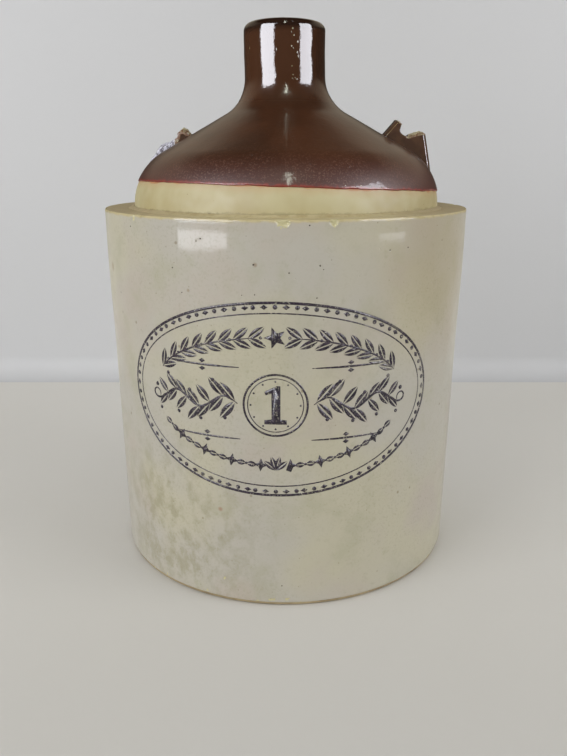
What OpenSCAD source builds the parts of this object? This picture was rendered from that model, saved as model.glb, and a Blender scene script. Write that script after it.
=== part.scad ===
// Stoneware crock jug with a ledge shoulder.
// A straight clay body carries a smaller domed top with a plain neck. The top is luted into a seat
// in the ledge, two pierced ears are stuck to the dome and both have broken off in use.
// Origin at the centre of the base, +Z up, the printed side faces -Y, the ears stand on the X axis.

/* [Body] */
// Outside diameter of the glazed body at its rim band
body_d = 180; // [172:1:210]
// Height from the base to the ledge
body_h = 176.5; // [130:0.5:230]
// Outside diameter of the glazed body at its foot
foot_d = 176; // [164:1:184]
// Thickness of the body's wall
body_wall = 7; // [6:0.5:9]
// Thickness of the floor
floor_t = 7.5; // [6:0.5:14]
// Rounding of the outer edge of the foot
foot_round = 1.6; // [0.8:0.1:3]
// Radius of the corner between floor and wall, inside
inner_corner_r = 12; // [5:0.5:20]
// Depth of the hollow under the base
base_dish = 0.8; // [0.2:0.1:2]
// Width of the flat ring that the jug stands on
stand_w = 13; // [6:0.5:25]

/* [Rim band and ledge] */
// Height of the band under the ledge that stands proud of the wall
band_h = 5.6; // [5:0.2:16]
// How far the band stands proud of the wall
band_proud = 0.3; // [0.2:0.1:2]
// Height over which the band eases back into the wall
band_ease = 4.2; // [1:0.2:5]
// Rounding of the ledge's outer edge
rim_round = 1; // [0.6:0.1:4]
// Depth of the seat that the dome stands in
seat_depth = 2.5; // [1.5:0.1:4]
// Height of the inner edge of the ledge, under the seat
nose_h = 6; // [4:0.5:10]
// Rounding of the ledge's inner edge, underneath
nose_r = 3; // [1:0.5:4]
// Radius of the hollow curve from the wall to the underside of the ledge
soffit_r = 7; // [4:0.5:10]
// Angle of the ledge's underside from upright
soffit_a = 75; // [60:1:80]

/* [Dome and neck] */
// Width of the ledge, from the body's side in to the dome's foot
ledge_w = 14.2; // [12:0.2:18]
// Thickness of the dome's wall
dome_wall = 6.5; // [5:0.5:8.5]
// Radius of the shoulder's curve
shoulder_r = 29; // [20:0.5:34]
// Upright part of the dome above the ledge
dome_upright = 0.8; // [0.2:0.1:3]
// Height from the ledge to the narrowest part of the neck
neck_rise = 61; // [54:0.2:80]
// Length of the neck above its narrowest part
neck_len = 23.5; // [12:0.1:50]
// Outside diameter of the glazed neck where it is narrowest
neck_d = 39.2; // [36:0.2:46]
// Radius of the hollow curve from the dome to the neck
neck_sweep_r = 19.8; // [12:0.2:22]
// Outside diameter of the glazed lip
lip_d = 39.2; // [37:0.2:48]
// Rounding of the lip, outside
lip_round = 3.2; // [1.5:0.1:4]
// Clear diameter of the glazed bore, for a stopper
bore_d = 28; // [22:0.5:30]
// Rounding of the bore's mouth
mouth_round = 1.5; // [0.5:0.1:2.5]
// Radius of the curve from the dome's inside into the bore
bore_sweep_r = 12; // [6:0.5:20]

/* [Coats and slip] */
// Thickness of the white coat on the body
white_coat = 0.4; // [0.2:0.05:0.8]
// Thickness of the brown slip, outside and inside
brown_coat = 0.4; // [0.2:0.05:0.8]
// Height of bare clay between the foot's rounding and the white coat
bare_strip = 0.3; // [0.1:0.1:5]
// Angle round the rim's rounding where the white coat ends
coat_end_a = 62; // [20:1:85]
// Height of the dip line above the ledge, on the jug's axis
dip_rise = 9.9; // [6:0.1:16]
// Slope of the dip line, down towards +X
dip_tilt_x = 1.9; // [0:0.1:3]
// Slope of the dip line, down towards +Y
dip_tilt_y = 1.7; // [0:0.1:3]
// Thickness of the slip under the dome's foot
slip_bed = 0.5; // [0.3:0.1:1.5]
// Width of the slip round the dome's foot, in the seat
slip_collar = 0.6; // [0.3:0.1:1.5]
// Width of the slip squeezed out on the ledge
slip_spread = 2; // [0.8:0.1:3]

/* [Ears] */
// Distance from the dome's side in to the ear's outer side
ear_inset = 3.8; // [3:0.2:10]
// Width of the ear's foot, across from its outer to its inner side
ear_w = 25; // [19:0.2:28]
// Thickness of an ear at its broad faces
ear_t = 12; // [8:0.5:16]
// Lean of the inner side, up from level
ear_in_a = 48; // [45:1:60]
// Lean of the outer side, up from level
ear_out_a = 102; // [95:1:110]
// Rounding of the whole ear's top
ear_top_r = 6; // [4.5:0.5:8]
// Width of the bevel round the ear's faces
ear_bevel = 1.3; // [0.5:0.1:2]
// Diameter of the hole for the wire
ear_hole_d = 6.2; // [5:0.2:8.4]
// Distance from the ear's inner side to the hole's centre, across
ear_hole_x = 11.5; // [10:0.1:14]
// Height of the hole's centre above the foot of the inner side
ear_hole_z = 2.9; // [1:0.1:5]
// Depth of the ear's root below the dome's surface, before it is fitted to the curve
ear_root = 4; // [2:0.5:6]
// Lean of the broken faces, up towards the back
break_tilt = 9; // [0:1:20]

/* [Hidden] */

$fn = 128;
arc_steps = 14;
ear_arc_steps = 8;
fillet_steps = 5;
over = 30;
half_turn = 180;

// Colours of the bare clay, the slip and the coats
buff = [0.65, 0.58, 0.43];
cream = [0.75, 0.71, 0.54];
grey_white = [0.70, 0.68, 0.62];
brown = [0.29, 0.18, 0.14];

// Clay sizes under the coats
foot_r = foot_d / 2 - white_coat;
band_r = body_d / 2 - white_coat;
side_top_r = band_r - band_proud;
band_z = body_h - band_h;
neck_r = neck_d / 2 - brown_coat;
bore_r = bore_d / 2 + brown_coat;
clay_top = body_h + neck_rise + neck_len - brown_coat;

// Lip and mouth, each rounded no further than the neck's wall allows
lip_r = lip_d / 2 - brown_coat;
mouth_r = min(mouth_round, (lip_r - bore_r) / 2);
lip_edge_r = min(lip_round, lip_r - bore_r - mouth_r);
crown_r = (bore_r + mouth_r + lip_r - lip_edge_r) / 2;

// Radius of the clay side at a height
function side_r(z) = foot_r + (side_top_r - foot_r) * (z - foot_round) / (band_z - foot_round);

// The joint between body and dome
dome_r = body_d / 2 - ledge_w;
joint_in_r = dome_r - dome_wall;
seat_z = body_h - seat_depth;
seat_r = dome_r + slip_collar;
dome_foot_z = seat_z + slip_bed;

// Centres of the dome's curves, and the normal of the straight that joins them
shoulder = [dome_r - shoulder_r, body_h + dome_upright];
sweep = [neck_r + neck_sweep_r, body_h + neck_rise];
span = sweep - shoulder;
dome_a = atan2(span[1], span[0]) - acos((shoulder_r + neck_sweep_r) / norm(span));
dome_n = [cos(dome_a), sin(dome_a)];
dome_c = shoulder * dome_n + shoulder_r;

// Height of the dome's clay at a radius, on the straight and on the shoulder
function dome_z(r) = r > shoulder[0] + shoulder_r * dome_n[0] ?
    shoulder[1] + sqrt(pow(shoulder_r, 2) - pow(r - shoulder[0], 2)) :
    (dome_c - dome_n[0] * r) / dome_n[1];

// The curve that leads the dome's inside into the bore
bore_sweep_x = bore_r + bore_sweep_r;
bore_sweep_z = (dome_c - dome_wall + bore_sweep_r - dome_n[0] * bore_sweep_x) / dome_n[1];
bore_sweep = [bore_sweep_x, bore_sweep_z];

// The ledge's inner edge, and the hollow curve under it, no larger than the ledge's overhang allows
soffit_n = [cos(soffit_a), sin(soffit_a)];
nose = [joint_in_r + nose_r, seat_z - nose_h];
overhang = side_r(nose[1]) - body_wall - joint_in_r;
hollow_r = min(soffit_r, overhang / (1 - soffit_n[0]) - nose_r);
hollow_x = side_r(nose[1]) - body_wall - hollow_r;
hollow = [hollow_x, nose[1] - (hollow_r + nose_r - soffit_n[0] * (nose[0] - hollow_x)) / soffit_n[1]];

// Centre of the corner between floor and wall
floor_corner = [side_r(floor_t) - body_wall - inner_corner_r, floor_t + inner_corner_r];

function arc(c, r, a0, a1, steps = arc_steps) =
    [for (i = [0:steps]) let (a = a0 + (a1 - a0) * i / steps) c + r * [cos(a), sin(a)]];

function curve(p0, p1, p2, steps) =
    [for (i = [0:steps]) let (t = i / steps) pow(1 - t, 2) * p0 + 2 * t * (1 - t) * p1 + pow(t, 2) * p2];

function reversed(points) = [for (i = [len(points) - 1:-1:0]) points[i]];

// Outside of the body, moved out by a coat, from a height on the side to an angle on the rim
function body_out(coat, from_z, to_a) = concat(
    [[side_r(from_z) + coat, from_z]],
    [[side_top_r + coat, band_z]],
    [[band_r + coat, band_z + band_ease]],
    arc([band_r - rim_round, body_h - rim_round], rim_round + coat, 0, to_a)
);

// Inside of the body, moved in by a coat, from the axis up to the joint
function body_in(coat) = concat(
    [[0, floor_t + coat]],
    arc(floor_corner, inner_corner_r - coat, -90, 0),
    arc(hollow, hollow_r - coat, 0, soffit_a),
    arc(nose, nose_r + coat, soffit_a + half_turn, half_turn)
);

// Outside of the dome, neck and lip, moved out by a coat, from the start of the shoulder
function dome_out(coat) = concat(
    arc(shoulder, shoulder_r + coat, 0, dome_a),
    arc(sweep, neck_sweep_r - coat, dome_a + half_turn, half_turn),
    arc([lip_r - lip_edge_r, clay_top - lip_edge_r], lip_edge_r + coat, 0, 90)
);

// Inside of the dome and neck, moved in by a coat, from the start of the shoulder
function dome_in(coat) = concat(
    arc(shoulder, shoulder_r - dome_wall - coat, 0, dome_a),
    arc(bore_sweep, bore_sweep_r + coat, dome_a + half_turn, half_turn),
    arc([bore_r + mouth_r, clay_top - mouth_r], mouth_r + coat, half_turn, 90)
);

module turned(points) { rotate_extrude() polygon(points); }

// Floor, wall, rim band and ledge, with the seat for the dome
module body() {
    stand_r = foot_r - foot_round;
    color(buff) turned(concat(
        [[0, base_dish]],
        [[stand_r - stand_w, 0]],
        arc([stand_r, foot_round], foot_round, -90, 0),
        body_out(0, foot_round, 90),
        [[seat_r, body_h]],
        [[seat_r, seat_z]],
        [[joint_in_r, seat_z]],
        reversed(body_in(0))
    ));
}

// Shoulder, straight slope, neck and lip, open through the bore
module dome() {
    color(cream) turned(concat(
        [[dome_r, dome_foot_z]],
        dome_out(0),
        reversed(dome_in(0)),
        [[joint_in_r, dome_foot_z]]
    ));
}

// A bed and collar in the seat, with the squeezed-out fillet on the ledge
module luting_slip() {
    dome_edge = dome_out(0);
    fillet_toe = [seat_r + slip_spread, body_h];
    fillet_heel = [dome_r + slip_collar, body_h + slip_collar];
    color(buff) turned(concat(
        [[joint_in_r, seat_z]],
        [[seat_r, seat_z]],
        [[seat_r, body_h]],
        curve(fillet_toe, fillet_heel, dome_edge[1], fillet_steps),
        [dome_edge[0]],
        [[dome_r, dome_foot_z]],
        [[joint_in_r, dome_foot_z]]
    ));
}

// White coat, from just above the foot to the rounding of the rim
module body_glaze() {
    coat_z = foot_round + bare_strip;
    color(grey_white) turned(concat(
        body_out(white_coat, coat_z, coat_end_a),
        reversed(body_out(0, coat_z, coat_end_a))
    ));
}

// Everything above the tilted dip line
module above_dip() {
    translate([0, 0, body_h + dip_rise]) rotate([-dip_tilt_y, dip_tilt_x, 0])
        translate([-body_d / 2, -body_d / 2, 0]) cube([body_d, body_d, clay_top]);
}

// Brown coat outside, from the dip line over the lip, with gaps where the ears are stuck on
module dome_glaze() {
    color(brown) difference() {
        intersection() {
            turned(concat(
                dome_out(brown_coat),
                [[crown_r, clay_top + brown_coat]],
                [[crown_r, clay_top]],
                reversed(dome_out(0))
            ));
            above_dip();
        }
        ear_blank();
        mirror([1, 0, 0]) ear_blank();
    }
}

// Brown coat inside, over floor, wall, ledge, dome and bore, up to the crown of the lip
module lining_glaze() {
    color(brown) turned(concat(
        body_in(brown_coat),
        dome_in(brown_coat),
        [[crown_r, clay_top + brown_coat]],
        [[crown_r, clay_top]],
        reversed(dome_in(0)),
        reversed(body_in(0))
    ));
}

// The dome's outside filled to the axis, which cuts the ears' feet to fit it
module dome_core() {
    turned(concat([[0, seat_z]], [[dome_r, seat_z]], dome_out(0), [[0, clay_top]]));
}

// Feet of an ear's two sides on the dome, and the corner where the sides would meet
ear_out = dome_r - ear_inset;
ear_in = ear_out - ear_w;
ear_in_foot = [ear_in, dome_z(ear_in)];
ear_out_foot = [ear_out, dome_z(ear_out)];
ear_in_dir = [cos(ear_in_a), sin(ear_in_a)];
ear_out_dir = [cos(ear_out_a), sin(ear_out_a)];
ear_gap = ear_out_foot - ear_in_foot;
ear_side = (ear_gap[0] * ear_out_dir[1] - ear_gap[1] * ear_out_dir[0]) / sin(ear_out_a - ear_in_a);
ear_apex = ear_in_foot + ear_side * ear_in_dir;
ear_hole = ear_in_foot + [ear_hole_x, ear_hole_z];

// Outline of a whole ear in the XZ plane, drawn in by a margin
function ear_outline(margin) = let (
    half_a = (ear_out_a - ear_in_a) / 2,
    mid_a = (ear_out_a + ear_in_a) / 2,
    top_c = ear_apex - ear_top_r / sin(half_a) * [cos(mid_a), sin(mid_a)]
) concat(
    [ear_in_foot - ear_root * ear_in_dir + margin * [ear_in_dir[1], -ear_in_dir[0]]],
    [ear_out_foot - ear_root * ear_out_dir + margin * [-ear_out_dir[1], ear_out_dir[0]]],
    arc(top_c, ear_top_r - margin, ear_out_a - 90, ear_in_a + 90, ear_arc_steps)
);

// A plate of an outline in the XZ plane, centred on it
module plate(points, t) {
    translate([0, t / 2, 0]) rotate([90, 0, 0]) linear_extrude(t) polygon(points);
}

// A whole ear as it is moulded, with bevelled faces, not yet pierced or fitted
module ear_blank() {
    hull() {
        plate(ear_outline(0), ear_t - 2 * ear_bevel);
        plate(ear_outline(ear_bevel), ear_t);
    }
}

// What broke off: all that lies above a ragged line, which is given in hole radii from the hole
module broken_off(line_shares) {
    line = ear_hole_d / 2 * line_shares;
    ends = [line[0][1], line[len(line) - 1][1]];
    translate([ear_hole[0], 0, ear_hole[1]]) rotate([break_tilt, 0, 0])
        plate(concat([[-over, over]], [[-over, ends[0]]], line, [[over, ends[1]]], [[over, over]]), over);
}

// An ear fitted to the dome, pierced for the wire and broken
module ear(line_shares) {
    difference() {
        ear_blank();
        dome_core();
        translate([ear_hole[0], over / 2, ear_hole[1]]) rotate([90, 0, 0])
            cylinder(h = over, d = ear_hole_d);
        broken_off(line_shares);
    }
}

// The right ear keeps a tall prong and the bottom of its hole
right_line_shares = [[-3.06, 1.9], [-1.42, 1.32], [-1, 1.16], [-0.86, 1.02], [-0.9, 0.68], [-0.94, 0.26],
    [-0.5, -0.3], [0.06, -0.97], [0.48, -1.01], [0.81, -0.93], [1.16, -0.8], [1.77, -0.61], [2.58, -0.46],
    [3.4, -0.44]];

// The left ear keeps a short prong and a low stump below its hole
left_line_shares = [[-3.4, -0.34], [-2.74, -0.1], [-2.16, 0.1], [-1.65, -0.35], [-1.48, -0.97],
    [-0.71, -1.61], [0.16, -2.13], [0.97, -2.29], [1.52, -2.48], [1.94, -3.29], [2.42, -3.9], [2.81, -4.32],
    [3.13, -5.03], [3.87, -7.42]];

module right_ear() { color(brown) ear(right_line_shares); }

module left_ear() { color(brown) mirror([1, 0, 0]) ear(left_line_shares); }

body();
dome();
luting_slip();
left_ear();
right_ear();
body_glaze();
dome_glaze();
lining_glaze();
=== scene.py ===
import math

import bmesh
import bpy
from mathutils import Matrix, Vector, noise


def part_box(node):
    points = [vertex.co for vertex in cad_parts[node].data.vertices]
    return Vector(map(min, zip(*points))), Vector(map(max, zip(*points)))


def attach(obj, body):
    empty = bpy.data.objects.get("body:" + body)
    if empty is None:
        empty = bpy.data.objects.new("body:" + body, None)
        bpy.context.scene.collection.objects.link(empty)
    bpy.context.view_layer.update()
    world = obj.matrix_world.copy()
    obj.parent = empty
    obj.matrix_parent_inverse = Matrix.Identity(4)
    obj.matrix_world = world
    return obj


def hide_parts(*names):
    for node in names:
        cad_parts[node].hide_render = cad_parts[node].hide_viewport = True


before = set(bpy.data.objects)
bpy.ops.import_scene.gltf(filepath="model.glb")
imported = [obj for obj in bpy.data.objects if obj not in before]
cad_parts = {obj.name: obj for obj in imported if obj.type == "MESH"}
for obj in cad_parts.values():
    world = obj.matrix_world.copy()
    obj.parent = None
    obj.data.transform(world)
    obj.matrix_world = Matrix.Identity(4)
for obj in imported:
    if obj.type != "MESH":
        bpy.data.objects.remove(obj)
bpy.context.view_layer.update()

# Lengths are metres and angles degrees. Azimuth 0 faces the printed side, -Y, and grows towards +X.
scene = bpy.context.scene
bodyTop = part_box("body")[1].z
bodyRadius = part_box("body")[1].x
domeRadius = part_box("dome")[1].x
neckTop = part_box("dome")[1].z

# The clay under the coats
clay = {
    "coat": 0.0004,
    "footRadius": 0.0876,
    "footRound": 0.0016,
    "standWidth": 0.013,
    "dish": 0.0008,
    "sideTopRadius": 0.0893,
    "bandBase": 0.1709,
    "bandEase": 0.0042,
    "flare": 1.6,
    "belly": 0.0004,
    "bellyHeight": 0.150,
    "bellyReach": 0.042,
    "flareStart": 0.0006,
    "rimRound": 0.001,
    "coatStart": 0.0019,
    "coatEndAngle": 62,
    "wall": 0.007,
    "floor": 0.0075,
    "cornerRound": 0.012,
    "seatRadius": 0.0764,
    "seatDepth": 0.0025,
    "noseHeight": 0.006,
    "noseRound": 0.003,
    "hollow": (0.07527, 0.15685),
    "hollowRound": 0.007,
    "hollowAngle": 75,
    "domeWall": 0.0065,
    "shoulder": (0.0468, 0.1773),
    "shoulderRound": 0.029,
    "slopeAngle": 60.888,
    "sweep": (0.0390, 0.2375),
    "sweepRound": 0.0198,
    "lipRadius": 0.0192,
    "lipRound": 0.0032,
    "boreRadius": 0.0144,
    "mouthRound": 0.0015,
    "boreSweep": (0.0264, 0.22815),
    "boreSweepRound": 0.012,
    "crownRadius": 0.01595,
}

# The line to which the top was dipped: a point on it and the way up from it
dipHeight = 0.1864
dipUp = Vector((0.0331, 0.0297, 0.9990))


def srgb(red, green, blue):
    channels = [value / 255 for value in (red, green, blue)]
    linear = [c / 12.92 if c <= 0.04045 else ((c + 0.055) / 1.055) ** 2.4 for c in channels]
    return (*linear, 1)


def placeAt(azimuth, radius, height):
    turn = math.radians(azimuth)
    return Vector((radius * math.sin(turn), -radius * math.cos(turn), height))


def azimuthOf(point):
    return math.degrees(math.atan2(point.x, -point.y))


def smoothStep(low, high, value):
    share = min(max((value - low) / (high - low), 0), 1)
    return share * share * (3 - 2 * share)


def rumple(point, waveLength, seed=0):
    return noise.noise(Vector(point) / waveLength + Vector((seed, 2 * seed, 3 * seed)))


# Profiles are lists of (radius, height)
def arcPoints(centre, radius, start, end, steps=10):
    turns = [math.radians(start + (end - start) * i / steps) for i in range(steps + 1)]
    return [(centre[0] + radius * math.cos(t), centre[1] + radius * math.sin(t)) for t in turns]


def evenly(points, spacing):
    fine = [points[0]]
    for (r0, z0), (r1, z1) in zip(points, points[1:]):
        parts = max(1, math.ceil(math.hypot(r1 - r0, z1 - z0) / spacing))
        fine += [(r0 + (r1 - r0) * i / parts, z0 + (z1 - z0) * i / parts) for i in range(1, parts + 1)]
    return fine


def sideRadius(height):
    share = (height - clay["footRound"]) / (clay["bandBase"] - clay["footRound"])
    belly = clay["belly"] * (1 - smoothStep(0, clay["bellyReach"], abs(height - clay["bellyHeight"])))
    return clay["footRadius"] + (clay["sideTopRadius"] - clay["footRadius"]) * share + belly


def bodySide(coat, start, endAngle, endCoat):
    sideTop = clay["bandBase"] - clay["flareStart"]
    side = [(sideRadius(start + (sideTop - start) * i / 60) + coat, start + (sideTop - start) * i / 60)
            for i in range(60)]
    band = []
    base = sideRadius(sideTop)
    for i in range(9):
        radius = base + (bodyRadius - base) * (i / 8) ** clay["flare"]
        band.append((radius + coat, sideTop + (clay["bandEase"] + clay["flareStart"]) * i / 8))
    rimCentre = (bodyRadius - clay["rimRound"], bodyTop - clay["rimRound"])
    rim = []
    for i in range(15):
        turn = endAngle * i / 14
        thinning = coat + (endCoat - coat) * smoothStep(0.6, 1, i / 14)
        rim += arcPoints(rimCentre, clay["rimRound"] + thinning, turn, turn, 1)[:1]
    return side + band + rim


def insideOfBody(coat):
    corner = (sideRadius(clay["floor"]) - clay["wall"] - clay["cornerRound"], clay["floor"] + clay["cornerRound"])
    nose = (domeRadius - clay["domeWall"] + clay["noseRound"], bodyTop - clay["seatDepth"] - clay["noseHeight"])
    return (
        [(0, clay["floor"] + coat)]
        + arcPoints(corner, clay["cornerRound"] - coat, -90, 0)
        + arcPoints(clay["hollow"], clay["hollowRound"] - coat, 0, clay["hollowAngle"])
        + arcPoints(nose, clay["noseRound"] + coat, 180 + clay["hollowAngle"], 180)
    )


def outsideOfDome(coat, startAngle=0):
    lip = (clay["lipRadius"] - clay["lipRound"], neckTop - clay["lipRound"])
    return (
        arcPoints(clay["shoulder"], clay["shoulderRound"] + coat, startAngle, clay["slopeAngle"], 20)
        + arcPoints(clay["sweep"], clay["sweepRound"] - coat, 180 + clay["slopeAngle"], 180, 16)
        + arcPoints(lip, clay["lipRound"] + coat, 0, 90, 12)
    )


def insideOfDome(coat):
    mouth = (clay["boreRadius"] + clay["mouthRound"], neckTop - clay["mouthRound"])
    inner = clay["shoulderRound"] - clay["domeWall"] - coat
    return (
        arcPoints(clay["shoulder"], inner, 0, clay["slopeAngle"])
        + arcPoints(clay["boreSweep"], clay["boreSweepRound"] + coat, 180 + clay["slopeAngle"], 180)
        + arcPoints(mouth, clay["mouthRound"] + coat, 180, 90)
    )


def turnedShape(points, steps, closed=True):
    bm = bmesh.new()
    verts = [bm.verts.new((radius, 0, height)) for radius, height in points]
    edges = [bm.edges.new(pair) for pair in zip(verts, verts[1:])]
    if closed:
        edges.append(bm.edges.new((verts[-1], verts[0])))
    bmesh.ops.spin(bm, geom=verts + edges, cent=(0, 0, 0), axis=(0, 0, 1), dvec=(0, 0, 0),
                   angle=math.tau, steps=steps, use_merge=True)
    bmesh.ops.remove_doubles(bm, verts=bm.verts, dist=0.000002)
    bmesh.ops.recalc_face_normals(bm, faces=bm.faces)
    return bm


def finerNear(bm, wanted, cuts):
    near = {vert for vert in bm.verts if wanted(vert.co)}
    edges = [edge for edge in bm.edges if edge.verts[0] in near and edge.verts[1] in near]
    if edges:
        bmesh.ops.subdivide_edges(bm, edges=edges, cuts=cuts, use_grid_fill=True)


def finishPiece(name, bm, material, nodes=()):
    mesh = bpy.data.meshes.new(name)
    bm.normal_update()
    bm.to_mesh(mesh)
    bm.free()
    mesh.shade_smooth()
    mesh.materials.append(material)
    piece = bpy.data.objects.new(name, mesh)
    scene.collection.objects.link(piece)
    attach(piece, "root")
    if nodes:
        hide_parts(*nodes)
    print(name, len(mesh.polygons), "faces")
    return piece


# One finish is one material. Its patterns read Object coordinates or an attribute of the piece.
class Finish:
    def __init__(self, name, roughness, specular=0.5, coat=0.0, coatRoughness=0.03):
        self.material = bpy.data.materials.new(name)
        self.material.use_nodes = True
        self.nodes = self.material.node_tree.nodes
        self.links = self.material.node_tree.links
        self.shader = self.nodes["Principled BSDF"]
        self.shader.inputs["Roughness"].default_value = roughness
        self.shader.inputs["Specular IOR Level"].default_value = specular
        self.shader.inputs["Coat Weight"].default_value = coat
        self.shader.inputs["Coat Roughness"].default_value = coatRoughness
        self.place = self.nodes.new("ShaderNodeTexCoord").outputs["Object"]

    def join(self, value, socket):
        if isinstance(value, bpy.types.NodeSocket):
            self.links.new(value, socket)
        else:
            socket.default_value = value

    def attribute(self, name):
        node = self.nodes.new("ShaderNodeAttribute")
        node.attribute_name = name
        return node.outputs["Fac"]

    def mapping(self, scale=(1, 1, 1), location=(0, 0, 0)):
        node = self.nodes.new("ShaderNodeMapping")
        node.inputs["Scale"].default_value = scale
        node.inputs["Location"].default_value = location
        self.join(self.place, node.inputs["Vector"])
        return node.outputs["Vector"]

    def noise(self, waveLength, detail=2.0, roughness=0.5, stretch=(1, 1, 1), shift=(0, 0, 0)):
        node = self.nodes.new("ShaderNodeTexNoise")
        node.inputs["Scale"].default_value = 1 / waveLength
        node.inputs["Detail"].default_value = detail
        node.inputs["Roughness"].default_value = roughness
        self.join(self.mapping(stretch, shift), node.inputs["Vector"])
        return node.outputs["Fac"]

    def cells(self, size, output="Distance"):
        node = self.nodes.new("ShaderNodeTexVoronoi")
        node.inputs["Scale"].default_value = 1 / size
        self.join(self.place, node.inputs["Vector"])
        return node.outputs[output]

    def math(self, operation, first, second=0.0, clamp=False):
        node = self.nodes.new("ShaderNodeMath")
        node.operation = operation
        node.use_clamp = clamp
        self.join(first, node.inputs[0])
        self.join(second, node.inputs[1])
        return node.outputs[0]

    def range(self, value, low, high, start=0.0, end=1.0):
        node = self.nodes.new("ShaderNodeMapRange")
        node.interpolation_type = "SMOOTHSTEP"
        self.join(value, node.inputs["Value"])
        node.inputs["From Min"].default_value = low
        node.inputs["From Max"].default_value = high
        node.inputs["To Min"].default_value = start
        node.inputs["To Max"].default_value = end
        return node.outputs["Result"]

    def mix(self, share, first, second, blend="MIX"):
        node = self.nodes.new("ShaderNodeMix")
        node.data_type = "RGBA"
        node.blend_type = blend
        self.join(share, node.inputs[0])
        self.join(first, node.inputs[6])
        self.join(second, node.inputs[7])
        return node.outputs[2]

    def distanceTo(self, centre, scale=(1, 1, 1)):
        node = self.nodes.new("ShaderNodeVectorMath")
        node.operation = "LENGTH"
        self.join(self.mapping(scale, [-c * s for c, s in zip(centre, scale)]), node.inputs[0])
        return node.outputs["Value"]

    def heightAbove(self, point, up):
        node = self.nodes.new("ShaderNodeVectorMath")
        node.operation = "DOT_PRODUCT"
        self.join(self.mapping((1, 1, 1), [-c for c in point]), node.inputs[0])
        node.inputs[1].default_value = up
        return node.outputs["Value"]

    def part(self, axis):
        node = self.nodes.new("ShaderNodeSeparateXYZ")
        self.join(self.place, node.inputs[0])
        return node.outputs[axis]

    # Small round spots: their share is how many of the cells have one
    def spots(self, size, radius, share):
        colour = self.cells(size, "Color")
        node = self.nodes.new("ShaderNodeSeparateColor")
        self.join(colour, node.inputs[0])
        chosen = self.range(node.outputs[0], 1 - share, 1 - share * 0.6)
        disc = self.range(self.cells(size), radius / size, radius / size * 0.35)
        return self.math("MULTIPLY", disc, chosen)

    def bump(self, height, distance, strength=1.0, under=None):
        node = self.nodes.new("ShaderNodeBump")
        node.inputs["Strength"].default_value = strength
        node.inputs["Distance"].default_value = distance
        self.join(height, node.inputs["Height"])
        if under is not None:
            self.join(under, node.inputs["Normal"])
        return node.outputs["Normal"]

    def wear(self, colour, roughness=None, normal=None):
        self.join(colour, self.shader.inputs["Base Color"])
        if roughness is not None:
            self.join(roughness, self.shader.inputs["Roughness"])
        if normal is not None:
            self.join(normal, self.shader.inputs["Normal"])
            if self.shader.inputs["Coat Weight"].default_value > 0:
                self.join(normal, self.shader.inputs["Coat Normal"])
        return self.material


# Damage to the body: azimuth, height, half width, half height and depth of a chip, or radius of a pit
bodyMarks = {
    "chips": [
        (-0.9, 0.1757, 0.0031, 0.0024, 0.0010), (12.2, 0.1757, 0.0018, 0.0019, 0.0008),
        (-46.8, 0.1760, 0.0010, 0.0019, 0.0005), (96, 0.1758, 0.0026, 0.0022, 0.0009),
        (163, 0.1760, 0.0016, 0.0017, 0.0007), (-128, 0.1757, 0.0035, 0.0020, 0.0009),
        (-49, 0.0016, 0.0014, 0.0012, 0.0006), (-41.8, 0.0030, 0.0009, 0.0009, 0.0004),
        (-25.1, 0.0030, 0.0009, 0.0010, 0.0004), (-18.9, 0.0119, 0.0008, 0.0011, 0.0004),
        (-8.5, 0.0022, 0.0013, 0.0010, 0.0005), (-4.1, 0.0034, 0.0026, 0.0010, 0.0005),
        (0.3, 0.0038, 0.0012, 0.0011, 0.0005), (4.6, 0.0018, 0.0011, 0.0009, 0.0004),
        (57, 0.0020, 0.0016, 0.0013, 0.0006), (118, 0.0024, 0.0028, 0.0016, 0.0007),
        (-150, 0.0020, 0.0022, 0.0014, 0.0006), (-104, 0.0022, 0.0012, 0.0010, 0.0005),
    ],
    "pits": [
        (-48.8, 0.1714, 0.00045), (-22.8, 0.1685, 0.00048), (-24.0, 0.1675, 0.00040), (-31.9, 0.1560, 0.00045),
        (-8.4, 0.1588, 0.00055), (-29.1, 0.1459, 0.00040), (-11.6, 0.1464, 0.00038), (-8.2, 0.1468, 0.00038),
        (8.7, 0.1585, 0.00048), (9.6, 0.1569, 0.00042), (0.7, 0.1557, 0.00040), (28.4, 0.1635, 0.00045),
        (34.5, 0.1640, 0.00040), (49.5, 0.1654, 0.00040), (8.0, 0.1454, 0.00042), (-1.2, 0.0109, 0.00050),
        (-58.5, 0.1402, 0.00045), (5.9, 0.1744, 0.00042), (83, 0.121, 0.00055), (131, 0.064, 0.00050),
        (-97, 0.108, 0.00055), (-141, 0.149, 0.00048), (172, 0.098, 0.00055), (108, 0.157, 0.00045),
    ],
    "pitDepth": 0.7,
    "ragged": 0.0011,
    "raggedShare": 0.3,
    "finerMargin": 0.0012,
    "pitMargin": 0.0023,
}


def chipShare(point, chip):
    azimuth, height, halfWidth, halfHeight, _ = chip
    radius = math.hypot(point.x, point.y)
    up = (point.z - height) / halfHeight
    if abs(up) > 3:
        return -1
    around = (azimuthOf(point) - azimuth + 180) % 360 - 180
    along = math.radians(around) * radius / halfWidth
    if abs(along) > 3:
        return -1
    inward = max(0, bodyRadius - radius - 0.001) / halfHeight
    edge = bodyMarks["raggedShare"] * rumple(point, bodyMarks["ragged"], 5)
    return max(-1, 1 - math.sqrt(along * along + up * up + inward * inward) - edge)


def outOfBody(point):
    radius = math.hypot(point.x, point.y)
    core = min(radius, bodyRadius - clay["rimRound"])
    level = min(max(point.z, clay["footRound"]), bodyTop - clay["rimRound"])
    outward = Vector((point.x, point.y, 0)) * ((radius - core) / radius) + Vector((0, 0, point.z - level))
    return outward.normalized() if outward.length > 0 else Vector((point.x, point.y, 0)).normalized()


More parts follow.
